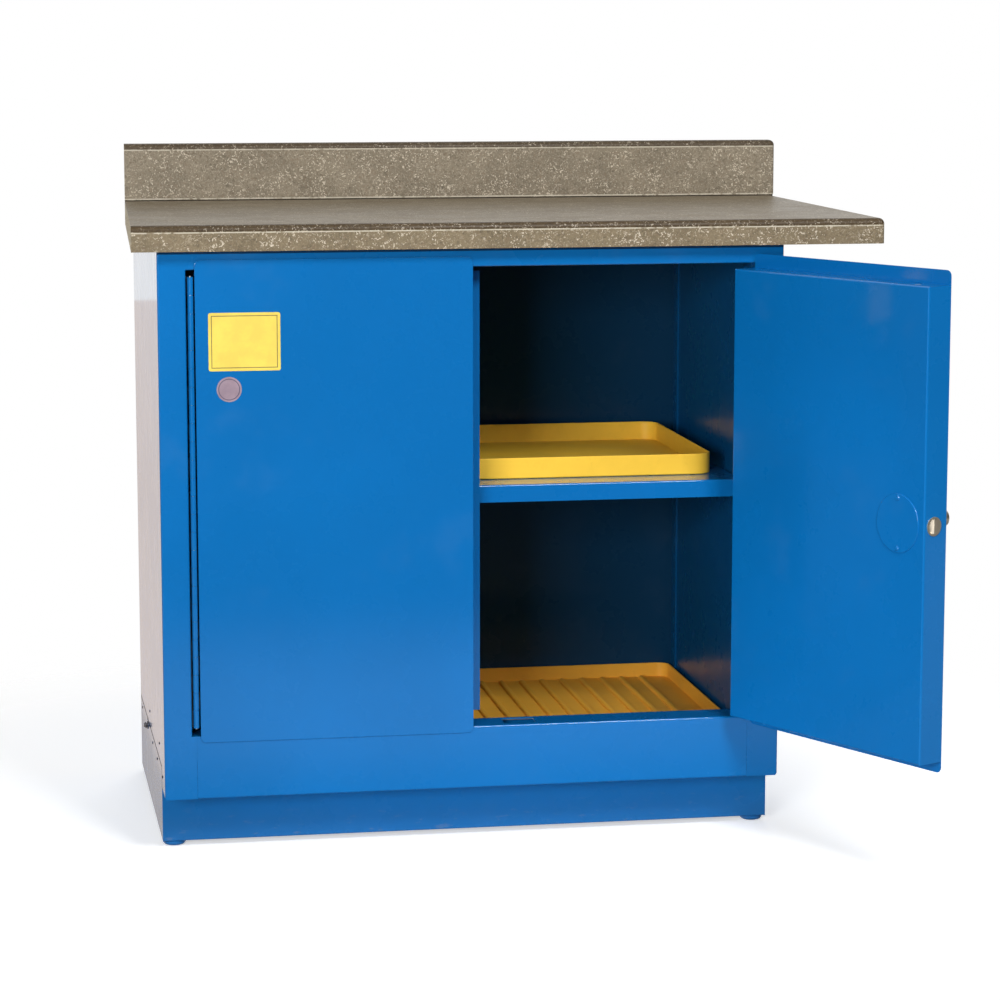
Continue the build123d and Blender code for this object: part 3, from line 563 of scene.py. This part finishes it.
plate_low, plate_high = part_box("data_plate")
plate_middle = [(plate_low[axis] + plate_high[axis]) / 2 for axis in (0, 2)]
plate_half = [(plate_high[axis] - plate_low[axis]) / 2 - PLATE_LINE_INSET for axis in (0, 2)]
sticker_low, sticker_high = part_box("round_sticker")
sticker_middle = [(sticker_low[axis] + sticker_high[axis]) / 2 for axis in (0, 2)]


def from_plate_line(tree, place):
    """The distance to the line that follows the edge of the plate."""
    return box_distance(tree, place, plate_middle, plate_half)


def from_sticker_ring(tree, place):
    """The distance to the ring on the round sticker."""
    squares = []
    for axis, centre in zip(("X", "Z"), sticker_middle):
        offset = calc(tree, "SUBTRACT", axis_of(tree, place, axis), centre)
        squares.append(calc(tree, "MULTIPLY", offset, offset))
    from_middle = calc(tree, "SQRT", calc(tree, "ADD", *squares), 0.0)
    return calc(tree, "SUBTRACT", from_middle, RING_RADIUS)


plate_film = film("yellow_blank_plate", ground=(0.86, 0.66, 0.10), line=(0.22, 0.17, 0.06),
                  line_place=from_plate_line, aged=(0.79, 0.59, 0.10))
sticker_film = film("round_blank_sticker", ground=(0.36, 0.265, 0.315), line=(0.10, 0.08, 0.13),
                    line_place=from_sticker_ring, aged=(0.28, 0.205, 0.25))
put_on(plate_film, "data_plate")
put_on(sticker_film, "round_sticker")
print("films: 2")

# %% [markdown]
# A seam runs along the side between the big panel and the base and turns down beside the toe space. A
# near-black strip that laps a little over both edges fills it, a painted shadow for the dark gap. A strip is
# a thin bar with rounded edges, so it is a box stretched to the length of the gap and then bevelled, once for
# each stretch and side. The record has no slot for rubber, so the beads are listed under the slot of the
# plain steel parts.

# %% Painted shadow strips in the side seams
SEAM_SHADOW_BLACK = (0.010, 0.010, 0.011)
SEAM_SHADOW_PALER = (0.035, 0.033, 0.030)
STRIP_ROUNDING = 0.3


def seam_shadow():
    """Almost black, with a little paler grain: a painted shadow for the dark seam gap."""
    material, tree, shader, place = start_finish("painted_seam_shadow", {"Specular IOR Level": 0.0})
    grain = noise(tree, place, 220.0, 4.0, 0.6)
    shade = mixed(tree, mask(tree, grain, 0.45, 0.7), SEAM_SHADOW_BLACK, SEAM_SHADOW_PALER)
    finish_with(tree, shader, colour=shade, roughness=between(tree, grain, 0.7, 0.9),
                normal=bumped(tree, grain, 0.3, 0.0002))
    return material


def shadow_strip(name, low, high):
    """One straight painted shadow strip that fills the box from low to high."""
    mesh = bpy.data.meshes.new(name)
    shape = bmesh.new()
    bmesh.ops.create_cube(shape, size=1.0)
    size = high - low
    bmesh.ops.scale(shape, vec=size, verts=shape.verts)
    bmesh.ops.bevel(shape, geom=shape.edges, offset=min(size) * STRIP_ROUNDING, segments=2, profile=0.5,
                    affect="EDGES", material=-1)
    bmesh.ops.translate(shape, vec=(low + high) / 2, verts=shape.verts)
    shape.to_mesh(mesh)
    shape.free()
    piece = bpy.data.objects.new(name, mesh)
    scene.collection.objects.link(piece)
    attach(piece, "cabinet")
    return piece


SEAM_WIDTH = 0.0012
CHEEK_HEIGHT = 0.110
PLINTH_HEIGHT = 0.077
STRIP_DEPTH = 0.0006
STRIP_PROUD = 0.00015
STRIP_LAP = 0.0005
BACK_GAP = 0.0001
base_low, base_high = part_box("base_left")
seam_z = base_low.z + CHEEK_HEIGHT
# The strips are a painted shadow: near-black pieces where the seam is only dark.
seam_finish = seam_shadow()
shadow_strips = []
for hand, outer_x in (("left", base_low.x), ("right", -base_low.x)):
    inward = 1 if hand == "left" else -1
    reach = sorted((outer_x - inward * STRIP_PROUD, outer_x + inward * STRIP_DEPTH))
    front_end = base_low.y - SEAM_WIDTH - STRIP_LAP
    along_z = (seam_z - STRIP_LAP, seam_z + SEAM_WIDTH + STRIP_LAP)
    runs = {"along": ((front_end, base_high.y - BACK_GAP), along_z),
            "down": ((front_end, base_low.y + STRIP_LAP), (base_low.z + PLINTH_HEIGHT, seam_z))}
    for run, (y, z) in runs.items():
        piece = shadow_strip(f"sealant_{hand}_{run}", Vector((reach[0], y[0], z[0])), Vector((reach[1], y[1], z[1])))
        piece.data.materials.append(seam_finish)
        shadow_strips.append(piece)
print("sealant beads:", len(shadow_strips))

# %% [markdown]
# The studio is a white floor under a white sky. The sky is full strength where the camera, a mirror or a
# glass looks at it, and weaker where it only lights, so the picture gets a white background and the cabinet
# isn't flooded with light.

# %% Sky
scene.view_settings.view_transform = "Standard"
SKY_LIGHT = 0.25


def looked_at(tree):
    """1 for what a camera, a mirror or a glass looks at, and 0 for what only throws light."""
    rays = tree.nodes.new("ShaderNodeLightPath").outputs
    seen = calc(tree, "MAXIMUM", rays["Is Camera Ray"], rays["Is Glossy Ray"])
    return calc(tree, "MAXIMUM", seen, rays["Is Transmission Ray"])


def studio_sky():
    """A white world whose light is SKY_LIGHT and whose look is full white."""
    world = bpy.data.worlds.new("white_studio")
    world.use_nodes = True
    tree = world.node_tree
    seen = looked_at(tree)
    strength = calc(tree, "ADD", SKY_LIGHT, weaker(tree, seen, 1.0 - SKY_LIGHT))
    background = tree.nodes["Background"]
    background.inputs["Color"].default_value = (1, 1, 1, 1)
    tree.links.new(strength, background.inputs["Strength"])
    return world


scene.world = studio_sky()
print("sky light", SKY_LIGHT)

# %% [markdown]
# The floor catches the cabinet's shadow. It fades out further off, and its glow is for the camera and for
# reflections alone, so its far edge runs into the white sky without a line.

# %% Floor
FLOOR_LEVEL = -0.0005
FLOOR_REACH = 2.2
FADE = (0.8, 1.35)
FLOOR_GLOW = 0.5
FLOOR_WORN = (0.93, 0.93, 0.92)
FLOOR_CLEAN = (0.95, 0.95, 0.94)


def flat_stage(name, x, y, z):
    """A flat rectangle of the studio, which isn't part of the cabinet."""
    mesh = bpy.data.meshes.new(name)
    sheet = bmesh.new()
    bmesh.ops.create_grid(sheet, x_segments=1, y_segments=1, size=0.5)
    bmesh.ops.scale(sheet, vec=(x[1] - x[0], y[1] - y[0], 1), verts=sheet.verts)
    bmesh.ops.translate(sheet, vec=((x[0] + x[1]) / 2, (y[0] + y[1]) / 2, z), verts=sheet.verts)
    sheet.to_mesh(mesh)
    sheet.free()
    piece = bpy.data.objects.new(name, mesh)
    scene.collection.objects.link(piece)
    return piece


def fading_floor(name, fade):
    """White paint that keeps the shadow near the cabinet and runs out into the white sky further off."""
    material, tree, shader, place = start_finish(name, {"Specular IOR Level": 0.0, "Roughness": 0.9})
    shade = mixed(tree, noise(tree, place, 2.0), FLOOR_WORN, FLOOR_CLEAN)
    tree.links.new(shade, shader.inputs["Base Color"])
    shader.inputs["Emission Color"].default_value = (1, 1, 1, 1)
    glow = weaker(tree, looked_at(tree), FLOOR_GLOW)
    tree.links.new(glow, shader.inputs["Emission Strength"])
    away = tree.nodes.new("ShaderNodeVectorMath")
    away.operation = "LENGTH"
    tree.links.new(stretched(tree, place, (1.0, 1.0, 0.0)), away.inputs[0])
    tree.links.new(mask(tree, away.outputs["Value"], fade[1], fade[0]), shader.inputs["Alpha"])
    return material


floor_range = (-FLOOR_REACH, FLOOR_REACH)
floor = flat_stage("studio_floor", floor_range, floor_range, FLOOR_LEVEL)
floor.data.materials.append(fading_floor("pale_floor", FADE))
print("floor", 2 * FLOOR_REACH, "m wide")

# %% [markdown]
# Gloss shows what stands around it. Dark cards, which only reflections see, keep the doors deep blue, with a
# few paler bands for the soft sheen near the floor. A warm pale card lies beside the cabinet on the left, and
# the left side mirrors it at a flat angle. Near the cabinet that card is painted darker, a painted shadow
# which the base mirrors. Cards change the gloss without changing the light.

# %% Cards for the reflections
CARD_LEVEL = 0.0003


def mirrored_card(name, x, y, colour, bands):
    """A card that only shows in reflections, as a photographer lays beside a glossy product. Each band gives
    an axis, where it starts and is full, and the colour beyond it."""
    card = flat_stage(name, x, y, CARD_LEVEL)
    material = bpy.data.materials.new(name)
    material.use_nodes = True
    tree = material.node_tree
    tree.nodes.remove(tree.nodes["Principled BSDF"])
    glow = tree.nodes.new("ShaderNodeEmission")
    place = tree.nodes.new("ShaderNodeTexCoord").outputs["Object"]
    for axis, low, high, further in bands:
        across = mask(tree, axis_of(tree, place, axis), low, high)
        colour = mixed(tree, across, colour, further)
    tree.links.new(colour, glow.inputs["Color"])
    tree.links.new(glow.outputs["Emission"], tree.nodes["Material Output"].inputs["Surface"])
    card.data.materials.append(material)
    card.visible_camera = False
    card.visible_diffuse = False
    card.visible_transmission = False
    card.visible_shadow = False
    return card


DARK = (0.03, 0.03, 0.03)
BRIGHT = (0.50, 0.49, 0.47)
DIM = (0.10, 0.10, 0.10)
SHADOWED_BESIDE_BASE = (0.50, 0.47, 0.46)
WARM = (0.81, 0.705, 0.65)
side_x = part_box("left_side_panel")[0].x
mirrored_card("dark_card_on_floor", x=(-5, 5), y=(-5.4, -0.2), colour=DARK,
              bands=[("Y", -2.4, -1.3, BRIGHT), ("Y", -1.05, -0.55, DIM)])
mirrored_card("dark_card_beside", x=(-5.0, -1.15), y=(-0.2, 4.0), colour=DARK,
              bands=[("Y", 1.0, 4.0, DIM)])
# Painted shadow: the warm card turns darker next to the cabinet, for the base to mirror.
mirrored_card("warm_card_beside", x=(-1.15, side_x - 0.0006), y=(-0.2, 8.9), colour=WARM,
              bands=[("Y", 0.01, -0.01, DARK), ("X", side_x - 0.034, side_x - 0.024, SHADOWED_BESIDE_BASE)])
for hand, half_width, place, turn in (("behind_camera", 5.5, (0, -5.4, 2.0), 0),
                                      ("on_the_left", 3.4, (-3.6, -2.0, 2.0), 90),
                                      ("on_the_right", 3.4, (3.6, -2.0, 2.0), 90)):
    upright = mirrored_card(f"dark_card_{hand}", x=(-half_width, half_width), y=(-2.0, 2.0), colour=DARK,
                            bands=[("Y", -1.0, 2.0, DIM)])
    stand = Matrix.Rotation(math.radians(turn), 4, "Z") @ Matrix.Rotation(math.radians(90), 4, "X")
    upright.data.transform(Matrix.Translation(place) @ stand)
print("6 cards")

# %% [markdown]
# One soft lamp stands low in front on the left and fills the doors. Another hangs high on the right, so its
# light drops onto the trays but not on the back of the cupboard. The third stands behind and lights the back,
# the cut edges and the hidden side of the open door. It is left out of reflections, where it would shine.

# %% Lamps
def soft_lamp(name, place, aim, size, power):
    """A rectangular lamp at a place, turned to what it aims at."""
    data = bpy.data.lights.new(name, "AREA")
    data.shape = "RECTANGLE"
    data.size, data.size_y = size
    data.energy = power
    lamp = bpy.data.objects.new(name, data)
    scene.collection.objects.link(lamp)
    lamp.location = place
    lamp.rotation_euler = (Vector(aim) - Vector(place)).to_track_quat("-Z", "Y").to_euler()
    return lamp


soft_lamp("left_front_lamp", place=(-1.9, -4.0, 1.2), aim=(0.1, -0.2, 0.45), size=(1.4, 1.1), power=104)
soft_lamp("right_high_lamp", place=(0.65, -2.5, 2.45), aim=(0.15, 0.0, 0.3), size=(0.9, 0.7), power=58)
back_lamp = soft_lamp("back_lamp", place=(0.6, 3.6, 1.5), aim=(0.1, 0.28, 0.5), size=(1.8, 1.4), power=46)
back_lamp.visible_camera = False
back_lamp.visible_glossy = False
print("3 lamps")
